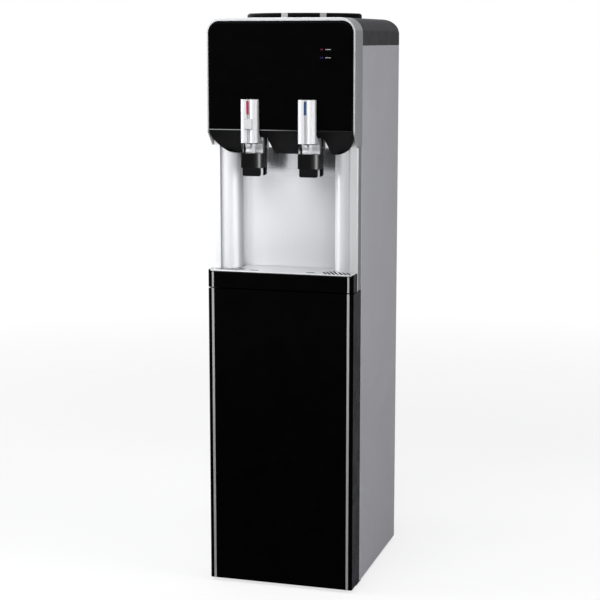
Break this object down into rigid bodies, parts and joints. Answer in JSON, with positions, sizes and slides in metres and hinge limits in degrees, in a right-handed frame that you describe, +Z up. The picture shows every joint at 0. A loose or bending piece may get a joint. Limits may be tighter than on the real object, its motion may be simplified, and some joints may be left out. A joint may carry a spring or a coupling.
{
  "type": "water cooler",
  "caption": "Floor-standing hot and cold water cooler with a bottle seat on top, lever taps over a pull-out drip tray and a hinged storage cabinet below.",
  "frame": {"origin": "on the floor, under the middle of the whole machine", "axes": "+X to the right for someone facing the machine, +Y from its front to its back, +Z up"},
  "size_m": [0.295, 0.389, 1.1327],
  "materials": {
    "black_gloss": "gloss",
    "black_satin": "satin",
    "grey_cover": "satin",
    "silver_paint": "satin",
    "silver_plastic": "satin",
    "silver_trim": "satin",
    "splash_metal": "satin",
    "white_plastic": "satin",
    "light_plastic": "satin",
    "black_rubber": "matte",
    "red_plastic": "gloss",
    "blue_plastic": "gloss",
    "red_lens": "gloss",
    "blue_lens": "gloss",
    "steel": "satin",
    "zinc_sheet": "satin",
    "copper": "satin",
    "black_paint": "satin",
    "foam": "matte",
    "silicone": "matte",
    "circuit_board": "satin"
  },
  "bodies": {
    "cabinet": {"base_pan": "zinc_sheet", "rubber_feet": "black_rubber", "left_side_panel": "silver_paint", "right_side_panel": "silver_paint", "rear_panel": "silver_paint", "cabinet_liner": "white_plastic", "lower_hinge": "steel", "upper_hinge_pin": "steel", "tray_shelf": "black_satin", "left_pillar": "silver_plastic", "right_pillar": "silver_plastic", "splash_panel": "splash_metal", "head_frame": "silver_plastic", "front_panel": "black_gloss", "hot_indicator": "red_lens", "cold_indicator": "blue_lens", "indicator_board": "circuit_board", "panel_trim": "silver_trim", "visor": "black_satin", "top_cover": "grey_cover", "hot_tap_body": "black_gloss", "cold_tap_body": "black_gloss", "tap_nuts": "white_plastic", "tap_pivot_pins": "steel", "tank_shelf": "zinc_sheet", "heater_shelf": "zinc_sheet", "cold_tank": "steel", "evaporator_coil": "copper", "tank_insulation": "foam", "hot_tank": "steel", "heater_band": "steel", "cold_hose": "silicone", "hot_hose": "silicone", "compressor": "black_paint", "compressor_mounts": "black_rubber", "condenser": "black_paint", "refrigerant_lines": "copper", "mains_inlet": "black_satin", "switch_bezels": "black_satin", "drain_pipe": "silicone"},
    "door": {"door_shell": "black_gloss", "door_grip": "black_satin", "door_trims": "silver_trim", "door_liner": "white_plastic", "door_gasket": "black_rubber"},
    "tray": {"drip_tray": "black_gloss", "tray_trims": "silver_trim"},
    "grille": {"drip_grille": "silver_plastic"},
    "seat": {"bottle_seat": "black_satin", "seat_clips": "light_plastic"},
    "hot_handle": {"hot_lever": "silver_plastic", "hot_strip": "red_plastic"},
    "hot_button": {"hot_safety_button": "silver_plastic"},
    "hot_stem": {"hot_valve": "black_rubber"},
    "cold_handle": {"cold_lever": "silver_plastic", "cold_strip": "blue_plastic"},
    "cold_stem": {"cold_valve": "black_rubber"},
    "hot_rocker": {"hot_switch": "red_plastic"},
    "cold_rocker": {"cold_switch": "blue_plastic"},
    "drain_plug": {"drain_cap": "black_rubber"}
  },
  "joints": [
    {"name": "door_hinge", "type": "hinge", "parent": "cabinet", "child": "door", "pos_m": [0.141, -0.1295, 0.3], "axis": [0, 0, 1], "range_deg": [0, 110]},
    {"name": "tray_pull", "type": "slide", "parent": "cabinet", "child": "tray", "axis": [0, -1, 0], "range_m": [0, 0.09]},
    {"name": "grille_lift", "type": "slide", "parent": "tray", "child": "grille", "axis": [0, 0, 1], "range_m": [0, 0.03]},
    {"name": "seat_lift", "type": "slide", "parent": "cabinet", "child": "seat", "axis": [0, 0, 1], "range_m": [0, 0.12]},
    {"name": "hot_pull", "type": "hinge", "parent": "cabinet", "child": "hot_handle", "pos_m": [-0.057, -0.1485, 0.878], "axis": [1, 0, 0], "range_deg": [0, 25], "stiffness_Nm_per_rad": 0.8, "springref_deg": -17.19},
    {"name": "hot_lock", "type": "slide", "parent": "hot_handle", "child": "hot_button", "axis": [0, 1, 0], "range_m": [0, 0.0025], "stiffness_N_per_m": 400, "springref_m": -0.002},
    {"name": "hot_flow", "type": "slide", "parent": "cabinet", "child": "hot_stem", "axis": [0, 0, -1], "range_m": [0, 0.004]},
    {"name": "cold_pull", "type": "hinge", "parent": "cabinet", "child": "cold_handle", "pos_m": [0.057, -0.1485, 0.878], "axis": [1, 0, 0], "range_deg": [0, 25], "stiffness_Nm_per_rad": 0.8, "springref_deg": -17.19},
    {"name": "cold_flow", "type": "slide", "parent": "cabinet", "child": "cold_stem", "axis": [0, 0, -1], "range_m": [0, 0.004]},
    {"name": "hot_power", "type": "hinge", "parent": "cabinet", "child": "hot_rocker", "pos_m": [0.07, 0.1875, 1.0057], "axis": [-1, 0, 0], "range_deg": [0, 16]},
    {"name": "cold_power", "type": "hinge", "parent": "cabinet", "child": "cold_rocker", "pos_m": [0.07, 0.1875, 0.9757], "axis": [-1, 0, 0], "range_deg": [0, 16]},
    {"name": "drain_pull", "type": "slide", "parent": "cabinet", "child": "drain_plug", "axis": [0, 1, 0], "range_m": [0, 0.04]}
  ],
  "couplings": [
    {"joint": "hot_flow", "follows": "hot_pull", "m_per_rad": 0.00916},
    {"joint": "cold_flow", "follows": "cold_pull", "m_per_rad": 0.00916}
  ]
}
